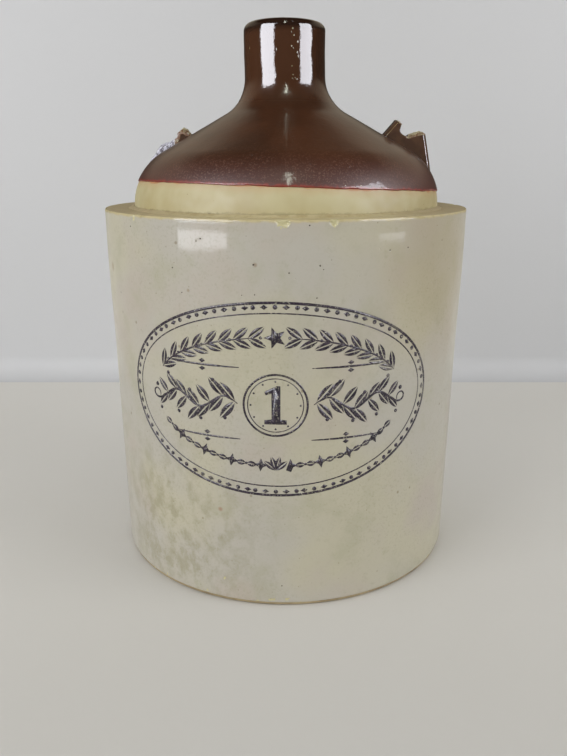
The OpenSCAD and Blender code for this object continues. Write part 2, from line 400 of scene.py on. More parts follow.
def markBody(bm):
    chips = bodyMarks["chips"]
    pits = [(placeAt(azimuth, sideRadius(height) + clay["coat"], height), radius)
            for azimuth, height, radius in bodyMarks["pits"]]
    chipCentres = [(placeAt(chip[0], bodyRadius, chip[1]), max(chip[2:4]) + bodyMarks["finerMargin"])
                   for chip in chips]
    finerNear(bm, lambda co: any((co - centre).length < reach + 0.0012 for centre, reach in chipCentres), 3)
    finerNear(bm, lambda co: any((co - centre).length < bodyMarks["pitMargin"] for centre, _ in pits), 5)
    chipLayer = bm.verts.layers.float.new("chip")
    pitLayer = bm.verts.layers.float.new("pit")
    moves = []
    for vert in bm.verts:
        chipped = max(((chipShare(vert.co, chip), chip[4]) for chip in chips), default=(-1, 0))
        vert[chipLayer] = chipped[0]
        pitted = max(1 - (vert.co - centre).length / radius for centre, radius in pits)
        vert[pitLayer] = max(pitted, -1)
        depth = chipped[1] * smoothStep(0, 0.5, chipped[0])
        depth += 0.0004 * bodyMarks["pitDepth"] * smoothStep(0, 1, pitted)
        if depth > 0:
            moves.append((vert, outOfBody(vert.co) * depth))
    for vert, move in moves:
        vert.co -= move


# The glaze is never quite even: this much of its thickness is missing at a place on the body
glazeWaves = {"long": 0.042, "longLoss": 0.00011, "short": 0.011, "shortLoss": 0.000025}


def glazeLoss(point):
    longWave = 0.5 + 0.5 * rumple(point, glazeWaves["long"], 3)
    shortWave = 0.5 + 0.5 * rumple(point, glazeWaves["short"], 7)
    return glazeWaves["longLoss"] * longWave + glazeWaves["shortLoss"] * shortWave


whiteGlaze = {
    "grey": srgb(186, 182, 171),
    "warm": srgb(190, 185, 164),
    "rose": srgb(186, 178, 166),
    "olive": srgb(173, 170, 146),
    "stain": srgb(150, 143, 113),
    "spot": srgb(120, 104, 74),
    "rim": srgb(194, 181, 140),
    "rimDirt": srgb(176, 162, 119),
    "rimAside": srgb(172, 156, 122),
    "chip": srgb(198, 191, 150),
    "pit": srgb(62, 50, 38),
    "stainCentre": placeAt(-37, 0.088, 0.030),
    "stainReach": 0.062,
    "toasted": srgb(170, 156, 122),
    "toastedCentre": placeAt(52, 0.089, 0.158),
    "toastedReach": 0.060,
    "smears": [(-8.0, 0.1588, 0.0014, srgb(128, 100, 66)), (-19.6, 0.0478, 0.0016, srgb(160, 112, 86)),
               (-65, 0.151, 0.0032, srgb(146, 122, 84)), (-27, 0.147, 0.0012, srgb(140, 116, 80))],
}


def bodyGlazeColour(finish):
    colours = whiteGlaze
    base = finish.mix(finish.range(finish.noise(0.060, 2), 0.40, 0.62), colours["grey"], colours["warm"])
    base = finish.mix(finish.range(finish.noise(0.045, 3, shift=(3, 1, 2)), 0.48, 0.66), base, colours["rose"])
    patch = finish.range(finish.noise(0.022, 4, 0.6, shift=(7, 2, 5)), 0.50, 0.72, 0.0, 0.55)
    base = finish.mix(patch, base, colours["olive"])
    # A cloud of kiln stain low on the left, mottled and streaked downwards
    cloud = finish.distanceTo(colours["stainCentre"], (1, 1, 0.9))
    reach = finish.range(cloud, colours["stainReach"], colours["stainReach"] * 0.25)
    mottle = finish.range(finish.noise(0.007, 5, 0.65, (1, 1, 0.75)), 0.40, 0.66, 0.0, 0.55)
    base = finish.mix(finish.math("MULTIPLY", reach, mottle), base, colours["stain"])
    toasted = finish.range(finish.distanceTo(colours["toastedCentre"]), colours["toastedReach"], 0.01, 0.0, 0.55)
    base = finish.mix(toasted, base, colours["toasted"])
    everywhere = finish.range(finish.noise(0.0045, 4, 0.7, shift=(2, 9, 4)), 0.56, 0.78, 0.0, 0.30)
    base = finish.mix(everywhere, base, colours["stain"])
    grain = finish.math("MULTIPLY", finish.range(finish.noise(0.0011, 3, 0.6, shift=(6, 3, 9)), 0.50, 0.70, 0.0, 0.28),
                        finish.range(finish.noise(0.05, 2, shift=(1, 8, 3)), 0.38, 0.62, 0.3, 1.0))
    base = finish.mix(grain, base, colours["stain"])
    for azimuth, height, reach, colour in colours["smears"]:
        away = finish.distanceTo(placeAt(azimuth, sideRadius(height), height))
        base = finish.mix(finish.range(away, reach, reach * 0.2, 0.0, 0.6), base, colour)
    base = finish.mix(finish.math("MULTIPLY", finish.spots(0.0075, 0.0010, 0.22), 0.55), base, colours["spot"])
    base = finish.mix(finish.math("MULTIPLY", finish.spots(0.0031, 0.0004, 0.22), 0.5), base, colours["spot"])
    return base


def rimShare(finish):
    wander = finish.range(finish.noise(0.006, 3, 0.6), 0.2, 0.8, -0.0005, 0.0005)
    return finish.range(finish.math("ADD", finish.part(2), wander), bodyTop - 0.0016, bodyTop - 0.0003)


def damage(finish, base, ragged=0.18):
    fray = finish.range(finish.noise(0.0007, 2), 0.3, 0.7, -ragged, ragged)
    chip = finish.range(finish.math("ADD", finish.attribute("chip"), fray), 0.02, 0.10)
    base = finish.mix(chip, base, whiteGlaze["chip"])
    pit = finish.range(finish.math("ADD", finish.attribute("pit"), fray), 0.10, 0.45)
    return finish.mix(pit, base, whiteGlaze["pit"]), chip


# The white glaze is satin, under a thin clear skin that mirrors the windows
glazeSkin = {"roughness": 0.35, "specular": 0.12, "coat": 0.32, "coatRoughness": 0.05}


def skinBump(finish):
    normal = finish.bump(finish.noise(0.0035, 3, 0.5), 0.00001, 0.6)
    return finish.bump(finish.noise(0.0014, 2, 0.5, (1, 1, 1.4)), 0.000006, 0.8, normal)


def whiteGlazeFinish():
    finish = Finish("whiteGlaze", **glazeSkin)
    rim = rimShare(finish)
    tan = finish.mix(finish.range(finish.noise(0.004, 3), 0.45, 0.75), whiteGlaze["rim"], whiteGlaze["rimDirt"])
    base, chip = damage(finish, finish.mix(rim, bodyGlazeColour(finish), tan))
    # The rim is rubbed dull
    rough = finish.range(finish.noise(0.009, 4, 0.6), 0.3, 0.7, 0.28, 0.40)
    rough = finish.math("ADD", rough, finish.math("MULTIPLY", finish.math("MAXIMUM", chip, rim), 0.4))
    normal = finish.bump(finish.spots(0.0043, 0.00035, 0.3), -0.0002, 0.6, skinBump(finish))
    return finish.wear(base, rough, normal)


def bareClayFinish():
    finish = Finish("bareClay", 0.6, 0.25)
    patches = finish.range(finish.noise(0.006, 4, 0.6), 0.35, 0.7)
    tan = finish.mix(patches, whiteGlaze["rim"], whiteGlaze["rimDirt"])
    aside = finish.math("ABSOLUTE", finish.part(0))
    tan = finish.mix(finish.range(aside, 0.030, 0.072, 0.0, 0.75), tan, whiteGlaze["rimAside"])
    patches = finish.range(finish.noise(0.018, 4, 0.6), 0.35, 0.7)
    under = finish.mix(patches, srgb(176, 160, 126), srgb(140, 124, 94))
    base = finish.mix(finish.range(finish.part(2), 0.02, 0.15), under, tan)
    # Darker on the ledge against the foot of the dome
    away = finish.distanceTo((0, 0, 0), (1, 1, 0))
    domeFootDarkening = finish.range(finish.math("ADD", away, finish.range(finish.noise(0.005, 3), 0.2, 0.8, -0.001, 0.001)),
                          domeRadius + 0.0042, domeRadius + 0.0012)
    domeFootDarkening = finish.math("MULTIPLY", domeFootDarkening, finish.range(finish.part(2), 0.16, 0.17, 0.0, 0.30))
    base = finish.mix(domeFootDarkening, base, srgb(150, 134, 90))
    base = finish.mix(finish.math("MULTIPLY", finish.spots(0.0036, 0.0004, 0.2), 0.8), base, srgb(90, 74, 46))
    base, chip = damage(finish, base)
    rough = finish.range(finish.part(2), 0.165, 0.173, 0.75, 0.55)
    normal = finish.bump(finish.noise(0.0016, 4, 0.6), 0.00012, 0.7)
    return finish.wear(base, finish.math("ADD", rough, finish.math("MULTIPLY", chip, 0.3)), normal)


def makeBody():
    outside = bodySide(0, clay["footRound"], 90, 0)
    foot = arcPoints((clay["footRadius"] - clay["footRound"], clay["footRound"]), clay["footRound"], -90, 0, 8)
    standOut = clay["footRadius"] - clay["footRound"]
    standIn = standOut - clay["standWidth"]
    under = [(0, clay["dish"]), (standIn - 0.004, clay["dish"] * 0.9), (standIn, 0.00012), (standIn + 0.001, 0)]
    seatZ = bodyTop - clay["seatDepth"]
    ledge = [(clay["seatRadius"], bodyTop), (clay["seatRadius"], seatZ), (domeRadius - clay["domeWall"], seatZ)]
    low = [point for point in outside if point[1] < 0.014]
    middle = [point for point in outside if 0.014 <= point[1] < 0.166]
    high = [point for point in outside if point[1] >= 0.166]
    points = evenly(under, 0.006) + evenly(foot + low, 0.0012) + middle
    points += evenly(high + ledge[:1], 0.0012) + ledge[1:] + list(reversed(insideOfBody(0)))
    bm = turnedShape(points, 360, closed=False)
    markBody(bm)
    for vert in bm.verts:
        onLedge = vert.co.z > bodyTop - 0.0002 and math.hypot(vert.co.x, vert.co.y) < bodyRadius - 0.003
        if onLedge:
            vert.co.z -= 0.00012 * (1 + rumple(vert.co, 0.016, 2))
    finishPiece("clayBody", bm, bareClayFinish(), ["body"])


def makeWhiteCoat():
    start = clay["coatStart"]
    outer = [(sideRadius(start) + 0.00004, start), (sideRadius(start) + 0.0003, start + 0.0003)]
    outer += bodySide(clay["coat"], start + 0.0008, clay["coatEndAngle"] + 6, 0.00003)
    inner = bodySide(0, start, clay["coatEndAngle"] + 6, 0)
    bm = turnedShape(evenly(outer, 0.0021) + list(reversed(inner)), 320)
    wobbled = [vert for vert in bm.verts
               if math.hypot(vert.co.x, vert.co.y) > min(sideRadius(vert.co.z), bodyRadius) + 0.0003]
    for vert in wobbled:
        radius = math.hypot(vert.co.x, vert.co.y)
        keep = 1 - glazeLoss(vert.co) / radius
        vert.co.x *= keep
        vert.co.y *= keep
    markBody(bm)
    finishPiece("whiteCoat", bm, whiteGlazeFinish(), ["body_glaze"])


# The dome sits a little to the right, and its neck leans to the left
domeShape = {
    "seatShift": 0.00014,
    "shift": 0.00056,
    "shiftFrom": (0.178, 0.205),
    "lean": 0.00105,
    "leanFrom": (0.214, 0.236),
    "topLean": 0.00028,
    "topFrom": (0.238, 0.250),
}


def settleDome(point):
    move = domeShape["seatShift"] + domeShape["shift"] * smoothStep(*domeShape["shiftFrom"], point.z)
    move -= domeShape["lean"] * smoothStep(*domeShape["leanFrom"], point.z)
    move -= domeShape["topLean"] * smoothStep(*domeShape["topFrom"], point.z)
    return Vector((point.x + move, point.y, point.z))


creamClay = {
    "light": srgb(193, 184, 142),
    "warm": srgb(182, 169, 124),
    "blush": srgb(190, 152, 110),
    "halo": srgb(186, 120, 72),
    "speck": srgb(140, 120, 72),
    "footDark": srgb(100, 86, 50),
}


def creamFinish():
    finish = Finish("creamClay", 0.55, 0.3)
    base = finish.mix(finish.range(finish.noise(0.024, 3), 0.38, 0.64), creamClay["light"], creamClay["warm"])
    above = finish.heightAbove((0, 0, dipHeight), dipUp)
    wander = finish.range(finish.noise(0.008, 3), 0.3, 0.7, -0.0006, 0.0006)
    above = finish.math("ADD", above, wander)
    base = finish.mix(finish.range(above, -0.0040, -0.0006, 0.0, 0.35), base, creamClay["blush"])
    base = finish.mix(finish.range(above, -0.0007, 0.0001, 0.0, 0.8), base, creamClay["halo"])
    base = finish.mix(finish.math("MULTIPLY", finish.spots(0.0042, 0.0004, 0.22), 0.6), base, creamClay["speck"])
    # Darker in a thin band at the foot of the dome
    wander = finish.range(finish.noise(0.0045, 4, 0.7), 0.3, 0.7, -0.0007, 0.0007)
    foot = finish.math("ADD", finish.part(2), wander)
    base = finish.mix(finish.range(foot, bodyTop + 0.0016, bodyTop + 0.0008, 0.0, 0.25), base, creamClay["footDark"])
    rough = finish.range(finish.noise(0.006, 4, 0.6), 0.3, 0.7, 0.48, 0.62)
    normal = finish.bump(finish.noise(0.003, 3, 0.55), 0.00008, 0.6)
    return finish.wear(base, rough, normal)


def makeDome():
    outside = outsideOfDome(0)
    low = [point for point in outside if point[1] < 0.195]
    high = outside[len(low):]
    seat = bodyTop - clay["seatDepth"] + 0.0005
    points = evenly([(domeRadius, seat)] + low, 0.0011) + high + list(reversed(insideOfDome(0)))
    points.append((domeRadius - clay["domeWall"], seat))
    bm = turnedShape(points, 360)
    for vert in bm.verts:
        vert.co = settleDome(vert.co)
        if vert.co.z < 0.2 and math.hypot(vert.co.x, vert.co.y) > 0.0715:
            radial = Vector((vert.co.x, vert.co.y, 0)).normalized()
            vert.co -= radial * 0.00010 * (1 + rumple(vert.co, 0.02, 4))
    finishPiece("domeClay", bm, creamFinish(), ["dome"])


slipRing = {"spread": 0.0017, "rise": 0.0010, "wander": 0.35, "long": 0.016, "short": 0.0045}


def slipFinish():
    finish = Finish("lutingSlip", 0.6, 0.25)
    patches = finish.range(finish.noise(0.005, 4, 0.6), 0.35, 0.7)
    base = finish.mix(patches, srgb(188, 176, 137), srgb(170, 155, 114))
    aside = finish.math("ABSOLUTE", finish.part(0))
    base = finish.mix(finish.range(aside, 0.030, 0.072, 0.0, 0.75), base, whiteGlaze["rimAside"])
    away = finish.distanceTo((0, 0, 0), (1, 1, 0))
    patches = finish.range(finish.noise(0.005, 3, 0.6, shift=(3, 7, 1)), 0.5, 0.62)
    crevice = finish.math("MULTIPLY", finish.range(away, domeRadius + 0.0009, domeRadius + 0.0001), patches)
    # Most of the dirt lies in one stretch, left of the middle
    gathered = finish.distanceTo(placeAt(-27, domeRadius, bodyTop))
    crevice = finish.math("MULTIPLY", crevice, finish.range(gathered, 0.010, 0.003, 0.22, 0.9))
    base = finish.mix(crevice, base, srgb(96, 80, 44))
    base = finish.mix(finish.math("MULTIPLY", finish.spots(0.0034, 0.0005, 0.2), 0.8), base, srgb(80, 64, 38))
    return finish.wear(base, None, finish.bump(finish.noise(0.0013, 4, 0.7), 0.00018, 0.8))


def makeLutingSlip():
    seat = bodyTop - clay["seatDepth"]
    toe = (clay["seatRadius"] + slipRing["spread"], bodyTop - 0.00015)
    heel = (domeRadius + 0.0007, bodyTop + 0.0006)
    head = (domeRadius - 0.0001, bodyTop + slipRing["rise"])
    fillet = []
    for i in range(9):
        t = i / 8
        weights = ((1 - t) ** 2, 2 * t * (1 - t), t * t)
        fillet.append(tuple(sum(w * p[axis] for w, p in zip(weights, (toe, heel, head))) for axis in (0, 1)))
    inner = domeRadius - clay["domeWall"]
    foot = seat + 0.0005
    points = [(inner, seat), (clay["seatRadius"], seat), (clay["seatRadius"], bodyTop - 0.00015)] + fillet
    points += [(domeRadius - 0.0001, foot), (inner, foot)]
    bm = turnedShape(points, 480)
    for vert in bm.verts:
        radius = math.hypot(vert.co.x, vert.co.y)
        if radius < domeRadius or vert.co.z < bodyTop - 0.0002:
            continue
        ring = Vector((vert.co.x, vert.co.y, 0)).normalized() * domeRadius
        swell = rumple(ring, slipRing["long"], 1) + 0.6 * rumple(ring, slipRing["short"], 2)
        swell = 1 + slipRing["wander"] * swell
        wide = domeRadius + (radius - domeRadius) * swell
        vert.co.x *= wide / radius
        vert.co.y *= wide / radius
        if vert.co.z > bodyTop:
            vert.co.z = bodyTop + (vert.co.z - bodyTop) * swell
    finishPiece("lutingSlip", bm, slipFinish(), ["luting_slip"])


brownSlip = {
    "dark": srgb(62, 35, 17),
    "warm": srgb(76, 44, 24),
    "plum": srgb(78, 29, 15),
    "neck": srgb(78, 51, 36),
    # Dark brown used as painted shade on the lip top and on the neck's right side
    "lip": srgb(36, 21, 15),
    "rust": srgb(134, 36, 4),
    "ember": srgb(98, 29, 9),
    "dustAndGlints": srgb(156, 112, 90),
    "blisterGlint": srgb(176, 172, 132),
    "edgeBead": 0.0003,
    "wave": 0.00045,
    "waveLength": 0.013,
    "ripple": 0.0002,
    "rippleLength": 0.0035,
    "neckWave": 0.00009,
    "neckWaveLength": 0.0054,
    "spacing": 0.00135,
}


def brownColour(finish):
    colours = brownSlip
    base = finish.mix(finish.range(finish.noise(0.03, 3), 0.36, 0.64), colours["dark"], colours["warm"])
    low = finish.range(finish.part(2), 0.204, 0.190, 0.0, 0.75)
    base = finish.mix(low, base, colours["plum"])
    base = finish.mix(finish.range(finish.part(2), 0.226, 0.240, 0.0, 0.7), base, colours["neck"])
    # Painted shade: the top of the lip and the right side of the neck are darkened towards the dark lip brown
    lipTopShade = finish.range(finish.part(2), 0.2545, 0.2582, 0.0, 0.95)
    rightSideShade = finish.math("MULTIPLY", finish.range(finish.part(0), 0.008, 0.017, 0.0, 0.6),
                            finish.range(finish.part(2), 0.226, 0.240))
    return finish.mix(finish.math("MAXIMUM", lipTopShade, rightSideShade), base, colours["lip"])


def brownGlossFinish():
    finish = Finish("brownSlip", 0.1, 0.38, 0.4, 0.03)
    base = brownColour(finish)
    above = finish.attribute("above")
    fray = finish.range(finish.noise(0.0022, 3, 0.6), 0.25, 0.75, -0.45, 0.45)
    level = finish.math("ADD", above, fray)
    # Pale speckle lies on the dome, thickest above the dip line: partly kiln dust, partly painted glints from tiny
    # pits in the slip
    dustAndGlints = finish.math("MULTIPLY", finish.range(finish.noise(0.0007, 1, 0.5), 0.52, 0.68),
                       finish.range(finish.noise(0.012, 3, shift=(4, 4, 1)), 0.25, 0.55, 0.35, 1.0))
    dustAndGlints = finish.math("MULTIPLY", dustAndGlints, finish.range(level, 34, 2, 0.0, 0.22))
    base = finish.mix(dustAndGlints, base, brownSlip["dustAndGlints"])
    dustAndGlintFlecks = finish.math("MULTIPLY", finish.spots(0.0026, 0.0004, 0.2), finish.range(level, 32, 8, 0.0, 0.35))
    base = finish.mix(dustAndGlintFlecks, base, brownSlip["dustAndGlints"])
    base = finish.mix(finish.range(level, 2.0, 0.7, 0.0, 0.7), base, brownSlip["ember"])
    base = finish.mix(finish.range(level, 0.95, 0.45, 0.0, 0.9), base, brownSlip["rust"])
    # Painted glints: the blisters are coloured pale where the light would catch them
    base = finish.mix(finish.range(finish.attribute("blisterGlint"), 0.15, 0.5), base, brownSlip["blisterGlint"])
    rough = finish.math("ADD", finish.range(finish.part(2), 0.240, 0.220, 0.06, 0.32),
                        finish.range(finish.part(2), 0.204, 0.190, 0.0, 0.15))
    rough = finish.math("ADD", rough, finish.math("MULTIPLY", dustAndGlints, 0.4))
    normal = finish.bump(finish.noise(0.0042, 2, 0.5), 0.00010, 0.6)
    normal = finish.bump(finish.noise(0.0014, 3, 0.6), 0.00006, 0.7, normal)
    normal = finish.bump(finish.spots(0.0034, 0.0003, 0.3), -0.00025, 0.7, normal)
    return finish.wear(base, rough, normal)


def outlineRadius(height):
    near = sorted(outsideOfDome(clay["coat"]), key=lambda point: abs(point[1] - height))[:2]
    (r0, z0), (r1, z1) = near
    return r0 + (r1 - r0) * (height - z0) / (z1 - z0)


# Small raised blisters in the slip, whose pale colour is a painted glint: azimuth, height, half width and half height
slipBlisterGlints = [
    (-56.4, 0.2488, 0.0004, 0.0008), (-10.7, 0.2471, 0.0003, 0.0007), (10.6, 0.2560, 0.0006, 0.0007),
    (9.0, 0.2545, 0.0004, 0.0006), (12.4, 0.2532, 0.0005, 0.0005), (9.3, 0.2486, 0.0005, 0.0006),
    (11.8, 0.2478, 0.0004, 0.0006), (17.7, 0.2504, 0.0004, 0.0008), (17.0, 0.2462, 0.0004, 0.0009),
    (18.2, 0.2444, 0.0003, 0.0008), (9.4, 0.2402, 0.0005, 0.0004), (10.9, 0.2366, 0.0006, 0.0004),
    (13.2, 0.2352, 0.0006, 0.0003), (15.2, 0.2347, 0.0007, 0.0003), (9.6, 0.2350, 0.0005, 0.0003),
    (-12.7, 0.2355, 0.0003, 0.0006), (-0.2, 0.2318, 0.0003, 0.0003), (0.5, 0.1919, 0.0007, 0.0005),
    (-0.6, 0.1926, 0.0004, 0.0003), (1.4, 0.1926, 0.0004, 0.0003), (19.1, 0.1891, 0.0005, 0.0002),
    (24.6, 0.1888, 0.0009, 0.0002), (28.3, 0.1885, 0.0007, 0.0002), (32.4, 0.1876, 0.0007, 0.0002),
]


def blisterGlintShare(point):
    best = -1
    for azimuth, height, halfWidth, halfHeight in slipBlisterGlints:
        up = (point.z - height) / halfHeight
        if abs(up) > 2:
            continue
        along = math.radians(azimuthOf(point) - azimuth) * math.hypot(point.x, point.y) / halfWidth
        best = max(best, 1 - math.hypot(along, up) - 1.1 * abs(rumple(point, 0.00045, 2)))
    return best


def makeBrownCoat():
    coat = clay["coat"]
    outline = outsideOfDome(coat, 10) + [(clay["crownRadius"], neckTop + coat)]
    bm = turnedShape(evenly(outline, brownSlip["spacing"]), 360, closed=False)
    for face in bm.faces:
        face.normal_update()
    sample = max(bm.faces, key=lambda face: math.hypot(*face.calc_center_median().xy))
    if sample.normal.dot(sample.calc_center_median()) < 0:
        bmesh.ops.reverse_faces(bm, faces=bm.faces)
    everything = bm.verts[:] + bm.edges[:] + bm.faces[:]
    dipPoint = Vector((0, 0, dipHeight))
    bmesh.ops.bisect_plane(bm, geom=everything, plane_co=dipPoint, plane_no=dipUp, clear_inner=True)
    finerNear(bm, lambda co: (co - dipPoint).dot(dipUp) < 0.0030, 2)
    blisterGlintPlaces = [placeAt(azimuth, outlineRadius(height), height) for azimuth, height, _, _ in slipBlisterGlints]
    finerNear(bm, lambda co: any((co - place).length < 0.0019 for place in blisterGlintPlaces), 3)
    blisterGlintLayer = bm.verts.layers.float.new("blisterGlint")
    aboveLayer = bm.verts.layers.float.new("above")
    bm.normal_update()
    moves = []
    for vert in bm.verts:
        height = (vert.co - dipPoint).dot(dipUp)
        vert[aboveLayer] = height * 1000
        blisterGlint = blisterGlintShare(vert.co)
        vert[blisterGlintLayer] = blisterGlint
        ring = Vector((vert.co.x, vert.co.y, 0)).normalized() * domeRadius
        move = Vector()
        if height < 0.006:
            wave = brownSlip["wave"] * rumple(ring, brownSlip["waveLength"], 1)
            wave += brownSlip["ripple"] * rumple(ring, brownSlip["rippleLength"], 3)
            wave *= 1 - smoothStep(0, 0.006, height)
            slope = Vector((-vert.normal.x * vert.normal.z, -vert.normal.y * vert.normal.z,
                            1 - vert.normal.z * vert.normal.z))
            move += slope * wave
        if height < brownSlip["edgeBead"]:
            rounding = 1 - math.sqrt(max(0, 1 - (1 - max(height, 0) / brownSlip["edgeBead"]) ** 2))
            move -= vert.normal * coat * rounding
        calm = smoothStep(neckTop, neckTop - 0.003, vert.co.z) if vert.co.z < neckTop else 0
        neck = smoothStep(0.222, 0.236, vert.co.z) * calm
        wobble = brownSlip["neckWave"] * (1 + rumple(vert.co, brownSlip["neckWaveLength"], 6)) * neck
        wobble += 0.00006 * (1 + rumple(vert.co, 0.017, 8)) * (1 - neck) * smoothStep(0.0005, 0.004, height)
        move -= vert.normal * wobble
        move += vert.normal * 0.00012 * smoothStep(0, 0.6, blisterGlint)
        moves.append((vert, move))
    for vert, move in moves:
        vert.co = settleDome(vert.co + move)
    piece = finishPiece("brownCoat", bm, brownGlossFinish(), ["dome_glaze"])
    wall = piece.modifiers.new("wall", "SOLIDIFY")
    wall.thickness = coat
    wall.offset = -1


def liningFinish():
    finish = Finish("innerSlip", 0.16)
    base = finish.mix(finish.range(finish.noise(0.014, 4, 0.6), 0.35, 0.68), brownSlip["dark"], srgb(92, 56, 38))
    rough = finish.range(finish.noise(0.01, 3), 0.3, 0.7, 0.10, 0.26)
    return finish.wear(base, rough, finish.bump(finish.noise(0.004, 3), 0.00008, 0.6))


def makeLining():
    coat = clay["coat"]
    inner = insideOfBody(coat) + insideOfDome(coat) + [(clay["crownRadius"], neckTop + coat)]
    outer = [(clay["crownRadius"], neckTop)] + list(reversed(insideOfBody(0) + insideOfDome(0)))
    bm = turnedShape(evenly(inner, 0.004) + outer, 180, closed=False)
    for vert in bm.verts:
        vert.co = settleDome(vert.co)
    finishPiece("innerCoat", bm, liningFinish(), ["lining_glaze"])


# A ragged break is given in hole radii, from the hole's centre, as in the solids
ears = {
    "holeRadius": 0.0031,
    "holeCentre": (0.0585, 0.21328),
    "breakTilt": 9,
    "voxel": 0.00028,
    "grain": 0.0009,
    "grainDepth": 0.00045,
    "slopeReach": 0.0026,
    "prongReach": 0.0016,
    "prongFace": -0.0050,
    "right": [(-3.06, 1.9), (-1.42, 1.32), (-1, 1.16), (-0.86, 1.02), (-0.9, 0.68), (-0.94, 0.26), (-0.5, -0.3),
              (0.06, -0.97), (0.48, -1.01), (0.81, -0.93), (1.16, -0.8), (1.77, -0.61), (2.58, -0.46), (5, -0.44)],
    "left": [(-3.4, -0.34), (-2.74, -0.1), (-2.16, 0.1), (-1.65, -0.35), (-1.48, -0.97), (-0.71, -1.61),
             (0.16, -2.13), (0.97, -2.29), (1.52, -2.48), (1.94, -3.29), (2.42, -3.9), (2.81, -4.32),
             (3.13, -5.03), (3.87, -7.42)],
}


def distanceToLine(point, line):
    best = 1.0
    for start, end in zip(line, line[1:]):
        start, end = Vector(start), Vector(end)
        along = end - start
        share = min(max((point - start).dot(along) / along.length_squared, 0), 1)
        best = min(best, (start + along * share - point).length)
    return best


def earFinish():
    finish = Finish("earSlip", 0.12)
    broken = finish.range(finish.math("ADD", finish.attribute("broken"),
                                      finish.range(finish.noise(0.0012, 3), 0.3, 0.7, -0.2, 0.2)), 0.35, 0.6)
    # Lines along the ear's bevels: on the inner bevel a gold line, partly glaze worn thin and partly a painted
    # highlight; on the outer bevel a pale lavender line, a painted reflection of the window
    edge = finish.math("MULTIPLY", finish.range(finish.attribute("edge"), 0.35, 0.75),
                       finish.range(finish.noise(0.0035, 3, shift=(5, 1, 1)), 0.40, 0.56))
    brown = finish.mix(finish.range(finish.noise(0.006, 3), 0.4, 0.65), srgb(80, 60, 49), srgb(92, 68, 53))
    outer = finish.range(finish.part(0), 0.0662, 0.0672)
    bevelWearAndHighlight = finish.mix(outer, srgb(186, 160, 108), srgb(216, 206, 216))
    brown = finish.mix(finish.math("MULTIPLY", edge, 0.8), brown, bevelWearAndHighlight)
    patches = finish.range(finish.noise(0.002, 4, 0.7), 0.35, 0.68)
    bare = finish.mix(patches, srgb(204, 196, 160), srgb(160, 146, 110))
    # The left stump's slope is glazed over; its pale bluish colour is a painted reflection of the windows, with dark
    # spots
    slope = finish.range(finish.part(0), -0.0540, -0.0550)
    bare = finish.mix(slope, bare, srgb(206, 206, 220))
    bare = finish.mix(finish.spots(0.0018, 0.00045, 0.4), bare, srgb(52, 42, 48))
    streaks = finish.range(finish.noise(0.0013, 2, 0.6, (1, 1, 0.5), (3, 1, 8)), 0.56, 0.62, 0.0, 0.85)
    bare = finish.mix(finish.math("MULTIPLY", streaks, slope), bare, srgb(70, 60, 72))
    # Rusty stain creeps over the front edge of each break
    front = finish.range(finish.part(1), 0.0015, -0.0025)
    rusty = finish.math("MULTIPLY", front, finish.range(finish.noise(0.0017, 3, 0.6, shift=(2, 2, 6)), 0.38, 0.48))
    rusty = finish.math("MULTIPLY", rusty, finish.range(slope, 1, 0, 0.0, 0.85))
    bare = finish.mix(rusty, bare, srgb(112, 62, 26))
    base = finish.mix(broken, brown, bare)
    rough = finish.math("ADD", finish.math("MULTIPLY", broken, 0.22), 0.1)
    normal = finish.bump(finish.math("MULTIPLY", finish.noise(0.0009, 3, 0.6), broken), 0.0003, 0.8)
    normal = finish.bump(finish.noise(0.003, 2), 0.0001, 0.5, normal)
    return finish.wear(base, rough, normal)


